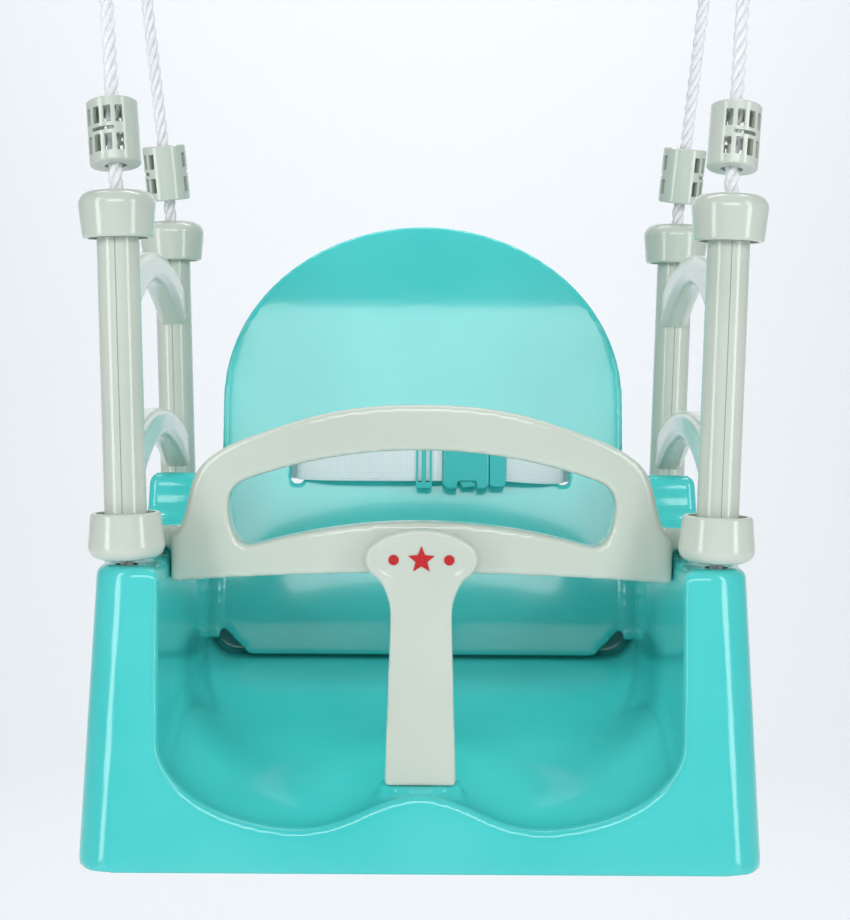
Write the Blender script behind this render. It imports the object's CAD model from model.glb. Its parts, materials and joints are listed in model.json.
# %% [markdown]
# # Toddler bucket swing
# The swing is a moulded seat that hangs in two ropes. The measured parts come from the packed
# frame, and this lesson adds what a drawing lacks: twisted rope, woven webbing, the soft
# edges that a mould leaves, and the finish of each material.

# %% Load the measured parts
import json
import math

import bmesh
import bpy
from mathutils import Matrix, Vector


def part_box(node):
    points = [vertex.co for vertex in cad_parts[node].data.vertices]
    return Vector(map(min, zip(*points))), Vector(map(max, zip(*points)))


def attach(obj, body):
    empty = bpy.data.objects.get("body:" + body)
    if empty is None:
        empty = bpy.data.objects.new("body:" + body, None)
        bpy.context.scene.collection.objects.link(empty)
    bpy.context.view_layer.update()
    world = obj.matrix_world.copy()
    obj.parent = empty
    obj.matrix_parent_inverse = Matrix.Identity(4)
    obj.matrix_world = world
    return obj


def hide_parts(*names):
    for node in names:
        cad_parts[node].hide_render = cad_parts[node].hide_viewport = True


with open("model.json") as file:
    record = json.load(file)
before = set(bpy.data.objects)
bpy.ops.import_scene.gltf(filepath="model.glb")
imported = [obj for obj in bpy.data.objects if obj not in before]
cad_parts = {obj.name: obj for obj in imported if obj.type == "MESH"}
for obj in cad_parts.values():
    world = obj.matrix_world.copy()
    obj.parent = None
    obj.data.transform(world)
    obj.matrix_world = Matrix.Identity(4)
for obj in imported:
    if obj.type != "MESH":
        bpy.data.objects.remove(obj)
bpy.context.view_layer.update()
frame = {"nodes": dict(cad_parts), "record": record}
SIDES = (("right", 1), ("left", -1))

# %% [markdown]
# ## Camera
# A long lens about a metre away shows the seat from a little above its own middle. A camera's
# rest pose looks down, so it is raised to look forward, short of level by a few degrees.

# %% Place the camera
POST_Y = sum(corner[1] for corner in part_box("cap_upper_front_right")) / 2
CAMERA_GAP = 1.091
CAMERA_HEIGHT = 0.292
CAMERA_X = 0.0017
PITCH_DOWN = math.radians(2.86)
ROLL = math.radians(0.35)
LENS_MM = 73.72

camera_data = bpy.data.cameras.new("front_view")
camera_data.lens = LENS_MM
camera = bpy.data.objects.new("front_view", camera_data)
bpy.context.scene.collection.objects.link(camera)
camera.matrix_world = (
    Matrix.Translation((CAMERA_X, POST_Y - CAMERA_GAP, CAMERA_HEIGHT))
    @ Matrix.Rotation(math.pi / 2 - PITCH_DOWN, 4, "X")
    @ Matrix.Rotation(ROLL, 4, "Z")
)
bpy.context.scene.camera = camera
print("camera stands at", [round(c, 3) for c in camera.matrix_world.translation])

# %% [markdown]
# ## Making and finishing pieces
# Every new piece keeps its object at the origin, so that its place is in its mesh, as the
# measured parts have it. These two helpers hold that rule for the whole lesson.


# %% Helpers for pieces
def new_piece(name, data):
    """An object at the origin that holds the data."""
    piece = bpy.data.objects.new(name, data)
    bpy.context.scene.collection.objects.link(piece)
    return piece


def settle(piece):
    """Apply the piece's modifiers, or turn its curve into a mesh, and shade it smooth."""
    evaluated = piece.evaluated_get(bpy.context.evaluated_depsgraph_get())
    mesh = bpy.data.meshes.new_from_object(evaluated)
    name = piece.name
    bpy.data.objects.remove(piece)
    settled = new_piece(name, mesh)
    mesh.shade_smooth()
    print(name, "has", len(mesh.polygons), "faces")
    return settled


# %% [markdown]
# ## Rope
# Each side hangs in one length of twisted polypropylene rope. It starts in a knot under the
# front tower, runs up inside the post, turns over the hanging ring and comes down inside the
# rear post to a second knot. One smooth spline holds the line, and the strands follow it.

# %% The rope's line
ROPE_DIAMETER = 0.0085
# A point stands six diameters from each cap and from the ring: the rope is straight there.
ROPE_ROUTE = (
    (0.1710, -0.1284, 0.16965),
    (0.1755, -0.1284, 0.3415),
    (0.1768, -0.1284, 0.3925),
    (0.1811, -0.1168, 0.4420),
    (0.2161, -0.0221, 0.8457),
    (0.2204, -0.0105, 0.8951),
    (0.2208, -0.0055, 0.8990),
    (0.2208, 0.0008, 0.8989),
    (0.2204, 0.0057, 0.8949),
    (0.2161, 0.0156, 0.8454),
    (0.1811, 0.0966, 0.4423),
    (0.1768, 0.1066, 0.3925),
    (0.1755, 0.1066, 0.3415),
    (0.1710, 0.1066, 0.16965),
)


def spline_line(route):
    """Points along the smooth spline that has the route as its control points."""
    curve = bpy.data.curves.new("line", "CURVE")
    curve.dimensions = "3D"
    curve.resolution_u = 24
    spline = curve.splines.new("NURBS")
    spline.points.add(len(route) - 1)
    for point, place in zip(spline.points, route):
        point.co = (*place, 1.0)
    spline.order_u = 3
    spline.use_endpoint_u = True
    holder = new_piece("line", curve)
    mesh = bpy.data.meshes.new_from_object(holder)
    points = [vertex.co.copy() for vertex in mesh.vertices]
    bpy.data.objects.remove(holder)
    bpy.data.meshes.remove(mesh)
    return points


ROUNDING_ERROR = 1e-9


def length_of(points):
    """Length of a line of points."""
    return sum((b - a).length for a, b in zip(points, points[1:]))


def evenly(points, gap):
    """The same line with its points about one gap apart, each with its distance from the start."""
    total = length_of(points)
    count = max(2, round(total / gap))
    step = total / count
    placed = [(0.0, points[0].copy())]
    travelled = 0.0
    for a, b in zip(points, points[1:]):
        run = (b - a).length
        while run > 0 and len(placed) * step <= travelled + run + ROUNDING_ERROR:
            distance = len(placed) * step
            placed.append((distance, a.lerp(b, (distance - travelled) / run)))
        travelled += run
    return placed


rope_lines = {}
for side, sign in SIDES:
    rope_lines[side] = spline_line([(sign * x, y, z) for x, y, z in ROPE_ROUTE])
    print(side, "rope is", round(length_of(rope_lines[side]), 4), "m long")

# %% [markdown]
# Laid rope is three strands wound round each other, and each strand is wound from yarns. Real
# strands give the outline its bumps, so they are geometry. A ridge for each yarn is too fine to
# model, so the material adds those.

# %% Wind the strands
STRANDS = 3
LAY_LENGTH = 0.027
STRAND_RADIUS = ROPE_DIAMETER / 2 / (1 + 2 / math.sqrt(3))
STRAND_OFFSET = ROPE_DIAMETER / 2 - STRAND_RADIUS
STRAND_STEP = 0.0022


def tube_piece(name, lines, radius, closed=False, detail=3):
    """Round tubes along lines of points, as one mesh."""
    curve = bpy.data.curves.new(name, "CURVE")
    curve.dimensions = "3D"
    curve.bevel_depth = radius
    curve.bevel_resolution = detail
    curve.use_fill_caps = not closed
    for line in lines:
        spline = curve.splines.new("POLY")
        spline.points.add(len(line) - 1)
        for point, place in zip(spline.points, line):
            point.co = (*place, 1.0)
        spline.use_cyclic_u = closed
    return settle(new_piece(name, curve))


def strand_lines(line):
    """Centre lines of the strands wound round a line."""
    placed = evenly(line, STRAND_STEP)
    middles = [place for _, place in placed]
    strands = [[] for _ in range(STRANDS)]
    across = Vector((1.0, 0.0, 0.0))
    for number, (distance, middle) in enumerate(placed):
        ahead = middles[min(number + 1, len(middles) - 1)] - middles[max(number - 1, 0)]
        along = ahead.normalized()
        across = (across - along * across.dot(along)).normalized()
        third = along.cross(across)
        for strand, points in enumerate(strands):
            turn = 2 * math.pi * (distance / LAY_LENGTH + strand / STRANDS)
            outward = across * math.cos(turn) + third * math.sin(turn)
            points.append(middle + outward * STRAND_OFFSET)
    return strands


ropes = {}
for side, sign in SIDES:
    ropes[side] = tube_piece(f"twisted_rope_{side}", strand_lines(rope_lines[side]), STRAND_RADIUS)
    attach(ropes[side], "seat")
    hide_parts(f"rope_{side}")

# %% [markdown]
# ## Knots
# Under each tower the rope ends in a stopper knot against a washer. A trefoil is the simplest
# knotted loop, and a thick tube along it sits in the top of the box round the measured ball.

# %% Tie the knots
KNOT_ROPE_RADIUS = 0.0033
KNOT_POINTS = 90


def knot_line(low, high):
    """A trefoil that fills the top of a box."""
    middle = (Vector(low) + Vector(high)) / 2
    scale = ((high[0] - low[0]) / 2 - KNOT_ROPE_RADIUS) / 3
    top = high[2] - KNOT_ROPE_RADIUS - scale
    line = []
    for number in range(KNOT_POINTS):
        t = 2 * math.pi * number / KNOT_POINTS
        x = math.sin(t) + 2 * math.sin(2 * t)
        y = math.cos(t) - 2 * math.cos(2 * t)
        z = top - scale * math.sin(3 * t)
        line.append(Vector((middle.x + scale * x, middle.y + scale * y, z)))
    return line


knots = {side: [] for side, _ in SIDES}
for side, _ in SIDES:
    for place in ("front", "rear"):
        node_name = f"rope_knot_{place}_{side}"
        loop = knot_line(*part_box(node_name))
        knot = tube_piece(f"knot_{place}_{side}", [loop], KNOT_ROPE_RADIUS, closed=True)
        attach(knot, "seat")
        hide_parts(node_name)
        knots[side].append(knot)

# %% [markdown]
# ## Soft moulded edges
# An injection mould can't fill a knife edge, and a child's seat has none: the rims of the
# seat, the backrest, the guard and its stem are rounded. The measured solids hold the sizes, but
# some of their edges are sharp. A fine voxel skin over a copy of each solid joins it into one even
# mesh, and smoothing that mesh rounds the edges by a few voxels and leaves flat stretches alone.


# %% Round off a moulding
MERGE_DISTANCE = 2e-6


def softened(node_name, name, voxel, passes, kept):
    """A copy of a measured part with rounded edges, thinned to a share of its faces."""
    source = frame["nodes"][node_name].data
    mesh = source.copy()
    mesh.materials.clear()
    skin = bmesh.new()
    skin.from_mesh(mesh)
    bmesh.ops.remove_doubles(skin, verts=skin.verts, dist=MERGE_DISTANCE)
    skin.to_mesh(mesh)
    skin.free()
    piece = new_piece(name, mesh)
    remesh = piece.modifiers.new("skin", "REMESH")
    remesh.mode = "VOXEL"
    remesh.voxel_size = voxel
    rounding = piece.modifiers.new("rounding", "SMOOTH")
    rounding.factor = 0.5
    rounding.iterations = passes
    thinning = piece.modifiers.new("thinning", "DECIMATE")
    thinning.ratio = kept
    piece = settle(piece)
    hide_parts(node_name)
    return piece


seat = softened("seat_shell", "seat_moulding", voxel=0.0022, passes=7, kept=0.4)
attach(seat, "seat")
backrest = softened("backrest_panel", "backrest_moulding", voxel=0.0017, passes=5, kept=0.6)
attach(backrest, "backrest")
guard = softened("guard_frame", "guard_bow", voxel=0.0013, passes=26, kept=0.7)
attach(guard, "guard")
stem = softened("guard_stem", "guard_leg_stem", voxel=0.0011, passes=26, kept=0.7)
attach(stem, "guard")

# %% [markdown]
# The stem's oval head has a soft raised rim round its print. It fades out where the head runs
# down into the neck. Moving the skin's own vertices forward keeps the rim and the head one surface.

# %% Raise the head's rim
HEAD_HALF_WIDTH = 0.033
HEAD_HALF_HEIGHT = 0.018
HEAD_Z = 0.1805
RIM_START = 0.74
RIM_RISE = 0.0011
RIM_DEPTH = 0.004
NECK_Z = 0.166
NECK_FADE = 0.006

stem_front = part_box("guard_stem")[0][1]
raised_count = 0
for vertex in stem.data.vertices:
    above = (vertex.co.z - HEAD_Z) / HEAD_HALF_HEIGHT
    reach = math.hypot(vertex.co.x / HEAD_HALF_WIDTH, above)
    if vertex.co.y < stem_front + RIM_DEPTH and RIM_START < reach < 1.0:
        swell = math.sin(math.pi * (reach - RIM_START) / (1.0 - RIM_START))
        fade = min(1.0, max(0.0, (vertex.co.z - NECK_Z) / NECK_FADE))
        vertex.co.y -= RIM_RISE * swell * fade
        raised_count += 1
print("rim raised on", raised_count, "vertices")

# %% [markdown]
# ## Waist belt
# The belt is woven polyester webbing 30 mm wide. It comes forward through a slot in the
# backrest on each side and meets in the buckle. Each half is a grid bent along its route, a touch
# narrower than the measured strap so that it clears the slide, with a little sag between its ends.
# It gets its thickness last.

# %% Bend the webbing
BELT_LOW, BELT_HIGH = (Vector(corner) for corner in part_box("belt_left"))
BELT_Z = (BELT_LOW.z + BELT_HIGH.z) / 2
BELT_WIDTH = BELT_HIGH.z - BELT_LOW.z
WEBBING_WIDTH = BELT_WIDTH * 0.985
WEBBING_THICKNESS = 0.0016
WEBBING_CROWN = 0.0006
WEBBING_ROUND = 0.0005
WEBBING_STEP = 0.0015
WEBBING_ROWS = 12
BELT_ROUTES = {
    "left": (
        (-0.1140, 0.1244),
        (-0.0960, 0.1236),
        (-0.0890, 0.1210),
        (-0.0870, 0.1110),
        (-0.0840, 0.1030),
        (-0.0620, 0.0949),
        (-0.0250, 0.0946),
        (0.0139, 0.0946),
    ),
    "right": (
        (0.0581, 0.0946),
        (0.0700, 0.0950),
        (0.0850, 0.0985),
        (0.0960, 0.1050),
        (0.0985, 0.1120),
        (0.1000, 0.1205),
        (0.1080, 0.1236),
        (0.1250, 0.1244),
    ),
}
BELT_SAG = {"left": 0.0003, "right": 0.0022}


def webbing(side):
    """Webbing on edge along a plan route, with its threads' directions in its UV map."""
    bent = spline_line([(x, y, BELT_Z) for x, y in BELT_ROUTES[side]])
    line = [place for _, place in evenly(bent, WEBBING_STEP)]
    strip = bmesh.new()
    strip.loops.layers.uv.new("UVMap")
    bmesh.ops.create_grid(
        strip, x_segments=len(line) - 1, y_segments=WEBBING_ROWS, size=0.5, calc_uvs=True
    )
    for vertex in strip.verts:
        share = vertex.co.x + 0.5
        across = vertex.co.y
        place = line[round(share * (len(line) - 1))]
        sag = BELT_SAG[side] * math.sin(math.pi * share)
        crown = WEBBING_CROWN * math.cos(math.pi * across)
        vertex.co = (place.x, place.y - crown, place.z + across * WEBBING_WIDTH - sag)
    mesh = bpy.data.meshes.new(f"webbing_{side}")
    strip.to_mesh(mesh)
    strip.free()
    piece = new_piece(f"webbing_{side}", mesh)
    cloth = piece.modifiers.new("cloth", "SOLIDIFY")
    cloth.thickness = WEBBING_THICKNESS
    cloth.offset = 0.0
    edge = piece.modifiers.new("edge", "BEVEL")
    edge.width = WEBBING_ROUND
    edge.segments = 2
    piece = settle(piece)
    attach(piece, "backrest")
    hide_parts(f"belt_{side}")
    return piece


belts = [webbing(side) for side in BELT_ROUTES]

# %% [markdown]
# ## Materials
# The base of every material is one principled shader. One helper adds a node with its
# settings and links, and another turns a hex colour into the linear values that a shader reads.


# %% Helpers for materials
def linear(hex_colour):
    """Linear red, green, blue and alpha of an sRGB hex colour."""
    values = []
    for start in (0, 2, 4):
        part = int(hex_colour[start : start + 2], 16) / 255
        values.append(part / 12.92 if part <= 0.04045 else ((part + 0.055) / 1.055) ** 2.4)
    return (*values, 1.0)


def per_metre(millimetres):
    """Pattern repeats in a metre for a feature of this size."""
    return 1000.0 / millimetres


def add_node(material, kind, inputs=None, **settings):
    """Add a node; inputs are values, or outputs of other nodes to link."""
    tree = material.node_tree
    node = tree.nodes.new(kind)
    for name, value in settings.items():
        setattr(node, name, value)
    for name, value in (inputs or {}).items():
        if isinstance(value, bpy.types.NodeSocket):
            tree.links.new(value, node.inputs[name])
        else:
            node.inputs[name].default_value = value
    return node


def new_material(name):
    """A material with an empty node tree."""
    material = bpy.data.materials.new(name)
    material.use_nodes = True
    material.node_tree.nodes.clear()
    return material


def ramp(material, factor, *stops):
    """Colours at places along a factor."""
    node = add_node(material, "ShaderNodeValToRGB", {"Fac": factor})
    elements = node.color_ramp.elements
    while len(elements) < len(stops):
        elements.new(0.5)
    for element, (place, hex_colour) in zip(elements, stops):
        element.position = place
        element.color = linear(hex_colour)
    return node.outputs["Color"]


def finish_surface(material, **inputs):
    """Join a principled shader to the material's output."""
    shader = add_node(material, "ShaderNodeBsdfPrincipled", inputs)
    add_node(material, "ShaderNodeOutputMaterial", {"Surface": shader.outputs["BSDF"]})


# %% [markdown]
# ### Glossy moulded polypropylene
# Polypropylene straight from a polished mould has a hard gloss with a faint orange peel, a slow
# drift of tone where the melt flowed, and the odd hairline rub from handling. The turquoise and
# the grey mouldings differ in colour and in how polished their moulds were. The buckle and the
# slide are acetal, which is duller.


# %% Moulded plastics
POLYPROPYLENE_IOR = 1.49
FLOW_MM = 90
RUB_MM = 1.6
RUB_STRETCH = (1.0, 1.0, 0.06)
RUB_DULLING = 0.1


def moulded(name, light, deep, gloss, peel_mm, peel_depth_mm):
    """Glossy plastic: flow tones, orange peel and hairline rubs."""
    material = new_material(name)
    where = add_node(material, "ShaderNodeTexCoord").outputs["Object"]
    flow = add_node(
        material,
        "ShaderNodeTexNoise",
        {"Vector": where, "Scale": per_metre(FLOW_MM), "Detail": 2.0, "Roughness": 0.4},
    )
    colour = ramp(material, flow.outputs["Fac"], (0.3, deep), (0.7, light))
    stretched = add_node(material, "ShaderNodeMapping", {"Vector": where, "Scale": RUB_STRETCH})
    rubs = add_node(
        material,
        "ShaderNodeTexNoise",
        {
            "Vector": stretched.outputs["Vector"],
            "Scale": per_metre(RUB_MM),
            "Detail": 3.0,
            "Roughness": 0.7,
        },
    )
    roughness = add_node(
        material,
        "ShaderNodeMapRange",
        {
            "Value": rubs.outputs["Fac"],
            "From Min": 0.45,
            "From Max": 0.8,
            "To Min": gloss,
            "To Max": gloss + RUB_DULLING,
        },
    )
    peel = add_node(
        material,
        "ShaderNodeTexNoise",
        {"Vector": where, "Scale": per_metre(peel_mm), "Detail": 1.5},
    )
    bump = add_node(
        material,
        "ShaderNodeBump",
        {"Height": peel.outputs["Fac"], "Strength": 0.25, "Distance": peel_depth_mm / 1000},
    )
    finish_surface(
        material,
        **{
            "Base Color": colour,
            "Roughness": roughness.outputs["Result"],
            "Normal": bump.outputs["Normal"],
            "IOR": POLYPROPYLENE_IOR,
            "Coat Weight": 0.25,
            "Coat Roughness": 0.06,
        },
    )
    return material


turquoise = moulded("moulded_turquoise_polypropylene", "50D0CD", "42C9C6", 0.13, 3.2, 0.04)
grey = moulded("moulded_grey_polypropylene", "CCD5CA", "C2CDC1", 0.16, 2.6, 0.05)
clip = moulded("satin_turquoise_acetal", "4CC8C6", "42C0BE", 0.3, 1.2, 0.08)

# %% [markdown]
# ### Polypropylene rope
# Each strand is a bundle of fine white yarns. Bands in the UV map of a tube stand for the yarns,
# and a fine noise in metres stands for their loose fibres, which catch light like a sheen.

# %% Rope
FIBRE_MM = 0.9
rope_fibre = new_material("twisted_polypropylene_rope")
rope_uv = add_node(rope_fibre, "ShaderNodeTexCoord")
yarns = add_node(
    rope_fibre,
    "ShaderNodeTexWave",
    {
        "Vector": rope_uv.outputs["UV"],
        "Scale": 2.0,
        "Distortion": 1.5,
        "Detail": 2.0,
        "Detail Scale": 3.0,
    },
    bands_direction="Y",
)
fuzz = add_node(
    rope_fibre,
    "ShaderNodeTexNoise",
    {"Vector": rope_uv.outputs["Object"], "Scale": per_metre(FIBRE_MM), "Detail": 3.0},
)
rope_height = add_node(
    rope_fibre,
    "ShaderNodeMix",
    {"Factor": 0.45, "A": yarns.outputs["Fac"], "B": fuzz.outputs["Fac"]},
)
rope_bump = add_node(
    rope_fibre,
    "ShaderNodeBump",
    {"Height": rope_height.outputs["Result"], "Strength": 0.6, "Distance": 0.0005},
)
finish_surface(
    rope_fibre,
    **{
        "Base Color": ramp(rope_fibre, fuzz.outputs["Fac"], (0.3, "E4E8EA"), (0.7, "F7F9FA")),
        "Roughness": 0.62,
        "Normal": rope_bump.outputs["Normal"],
        "IOR": POLYPROPYLENE_IOR,
        "Sheen Weight": 0.3,
        "Sheen Roughness": 0.4,
    },
)

# %% [markdown]
# ### Webbing
# Polyester webbing is a plain weave. Two crossed waves in the strap's own UV map make its warp
# and weft: the map runs along the strap and across it, so the threads follow every bend. The
# thread spacing is drawn at 1.5 mm, twice the real one, because a finer one doesn't show. Both
# halves share one map scale, so the shorter right half has its weft closer together.

# %% Woven webbing
THREAD_MM = 1.5
MAP_LENGTH = 0.14
# A wave texture draws 3.18 bands for each unit of its scale, and pi is near enough.
WAVES_PER_SCALE = math.pi
weave = new_material("woven_polyester_webbing")
weave_uv = add_node(weave, "ShaderNodeTexCoord").outputs["UV"]
warp = add_node(
    weave,
    "ShaderNodeTexWave",
    {
        "Vector": weave_uv,
        "Scale": BELT_WIDTH * per_metre(THREAD_MM) / WAVES_PER_SCALE,
        "Distortion": 0.3,
    },
    bands_direction="Y",
)
weft = add_node(
    weave,
    "ShaderNodeTexWave",
    {
        "Vector": weave_uv,
        "Scale": MAP_LENGTH * per_metre(THREAD_MM) / WAVES_PER_SCALE,
        "Distortion": 0.3,
    },
    bands_direction="X",
)
crossing = add_node(
    weave,
    "ShaderNodeMath",
    {0: warp.outputs["Fac"], 1: weft.outputs["Fac"]},
    operation="MULTIPLY",
)
weave_bump = add_node(
    weave,
    "ShaderNodeBump",
    {"Height": crossing.outputs["Value"], "Strength": 0.7, "Distance": 0.0004},
)
finish_surface(
    weave,
    **{
        "Base Color": ramp(weave, crossing.outputs["Value"], (0.1, "E6ECF0"), (0.7, "FCFDFE")),
        "Roughness": 0.7,
        "Normal": weave_bump.outputs["Normal"],
        "Sheen Weight": 0.25,
        "Sheen Roughness": 0.5,
    },
)

# %% [markdown]
# ### Zinc-plated steel and red print
# The rings, washers and screws are steel with a bright zinc plating, which is slightly cloudy.
# The motif is a thick red print that stands a little proud of the head.

# %% Metal and print
CLOUD_MM = 4
INK_GRAIN_MM = 1.2
zinc = new_material("zinc_plated_steel")
zinc_where = add_node(zinc, "ShaderNodeTexCoord").outputs["Object"]
cloud = add_node(
    zinc,
    "ShaderNodeTexNoise",
    {"Vector": zinc_where, "Scale": per_metre(CLOUD_MM), "Detail": 4.0},
)
zinc_roughness = add_node(
    zinc,
    "ShaderNodeMapRange",
    {"Value": cloud.outputs["Fac"], "To Min": 0.22, "To Max": 0.42},
)
finish_surface(
    zinc,
    **{
        "Base Color": ramp(zinc, cloud.outputs["Fac"], (0.3, "B9BBBE"), (0.7, "D6D8DA")),
        "Metallic": 1.0,
        "Roughness": zinc_roughness.outputs["Result"],
    },
)

print_ink = new_material("red_pad_print")
ink_where = add_node(print_ink, "ShaderNodeTexCoord").outputs["Object"]
ink_noise = add_node(
    print_ink,
    "ShaderNodeTexNoise",
    {"Vector": ink_where, "Scale": per_metre(INK_GRAIN_MM), "Detail": 3.0},
)
ink_bump = add_node(
    print_ink,
    "ShaderNodeBump",
    {"Height": ink_noise.outputs["Fac"], "Strength": 0.3, "Distance": 0.0001},
)
finish_surface(
    print_ink,
    **{
        "Base Color": ramp(print_ink, ink_noise.outputs["Fac"], (0.3, "B4161C"), (0.7, "C81F25")),
        "Roughness": 0.38,
        "Normal": ink_bump.outputs["Normal"],
    },
)

# %% Give every piece its finish
FINISHES = {
    "turquoise_plastic": turquoise,
    "turquoise_clip": clip,
    "grey_plastic": grey,
    "white_rope": rope_fibre,
    "white_webbing": weave,
    "zinc_steel": zinc,
    "red_print": print_ink,
}


def paint(piece, material):
    """Make the material the piece's only one."""
    piece.data.materials.clear()
    piece.data.materials.append(material)


for subpart in frame["record"]["subparts"]:
    node_object = frame["nodes"][subpart["node"]]
    for material_slot in node_object.material_slots:
        material_slot.material = FINISHES[subpart["material_slot"]]
for piece in (seat, backrest):
    paint(piece, turquoise)
for piece in (guard, stem):
    paint(piece, grey)
for piece in (*ropes.values(), *knots["right"], *knots["left"]):
    paint(piece, rope_fibre)
for piece in belts:
    paint(piece, weave)

# %% [markdown]
# ## Stage and light
# A pale floor sweeps up into a pale wall, so no horizon crosses the view. Two tall soft boxes
# draw the long highlights down the posts, a wide one in front lights the backrest and the
# towers, a weak one overhead lights the tub, another lights the wall, and the sky fills the rest.

# %% Floor and wall
FLOOR_DROP = 0.45
SWEEP_START = 2.2
SWEEP_RADIUS = 1.4
SWEEP_STEPS = 24
WALL_RISE = 5.0
STAGE_HALF = 6.0
LEVEL_ERROR = 1e-4

sweep = bmesh.new()
front_edge = [sweep.verts.new((x, -STAGE_HALF, -FLOOR_DROP)) for x in (-STAGE_HALF, STAGE_HALF)]
edge = sweep.edges.new(front_edge)
laid = bmesh.ops.extrude_edge_only(sweep, edges=[edge])["geom"]
laid_verts = [item for item in laid if isinstance(item, bmesh.types.BMVert)]
laid_edges = [item for item in laid if isinstance(item, bmesh.types.BMEdge)]
bmesh.ops.translate(sweep, verts=laid_verts, vec=(0, STAGE_HALF + SWEEP_START, 0))
top_edge = [item for item in laid_edges if all(v in laid_verts for v in item.verts)]
bmesh.ops.spin(
    sweep,
    geom=[*laid_verts, *top_edge],
    cent=(0, SWEEP_START, SWEEP_RADIUS - FLOOR_DROP),
    axis=(1, 0, 0),
    angle=math.pi / 2,
    steps=SWEEP_STEPS,
    use_duplicate=False,
)
top_height = max(vertex.co.z for vertex in sweep.verts)
crest = [
    item
    for item in sweep.edges
    if all(abs(v.co.z - top_height) < LEVEL_ERROR for v in item.verts)
]
raised = bmesh.ops.extrude_edge_only(sweep, edges=crest)["geom"]
raised_verts = [item for item in raised if isinstance(item, bmesh.types.BMVert)]
bmesh.ops.translate(sweep, verts=raised_verts, vec=(0, 0, WALL_RISE))
bmesh.ops.recalc_face_normals(sweep, faces=sweep.faces)
sweep_mesh = bpy.data.meshes.new("floor_sweep")
sweep.to_mesh(sweep_mesh)
sweep.free()
sweep_mesh.shade_smooth()
floor = new_piece("floor_sweep", sweep_mesh)

pale = new_material("pale_paper_sweep")
finish_surface(pale, **{"Base Color": linear("F4F7FA"), "Roughness": 0.9})
paint(floor, pale)

# %% Lights
world = bpy.data.worlds.new("pale_sky")
world.use_nodes = True
background = world.node_tree.nodes["Background"]
background.inputs["Color"].default_value = linear("EEF4FA")
background.inputs["Strength"].default_value = 0.22
bpy.context.scene.world = world
# The plain transform shows a base colour as it is; the filmic ones wash a strong turquoise out.
bpy.context.scene.view_settings.view_transform = "Standard"


def soft_box(name, place, target, width, height, watts):
    """A soft box at a place, turned to face a target."""
    data = bpy.data.lights.new(name, "AREA")
    data.shape = "RECTANGLE"
    data.size = width
    data.size_y = height
    data.energy = watts
    light = new_piece(name, data)
    toward = Vector(target) - Vector(place)
    turned = toward.to_track_quat("-Z", "Y").to_matrix().to_4x4()
    light.matrix_world = Matrix.Translation(place) @ turned
    light.visible_camera = False


MIDDLE = (0, 0, 0.2)
soft_box("left_box", (-1.25, -1.0, 0.5), MIDDLE, 0.35, 1.6, 9)
soft_box("right_box", (1.25, -1.0, 0.5), MIDDLE, 0.35, 1.6, 9)
soft_box("front_box", (0, -2.5, 1.15), MIDDLE, 2.4, 0.7, 27)
soft_box("top_box", (0, 0.1, 1.7), MIDDLE, 1.2, 0.8, 3)
soft_box("wall_box", (0, 0.7, 2.6), (0, 3.4, 0.5), 3.0, 1.0, 76)
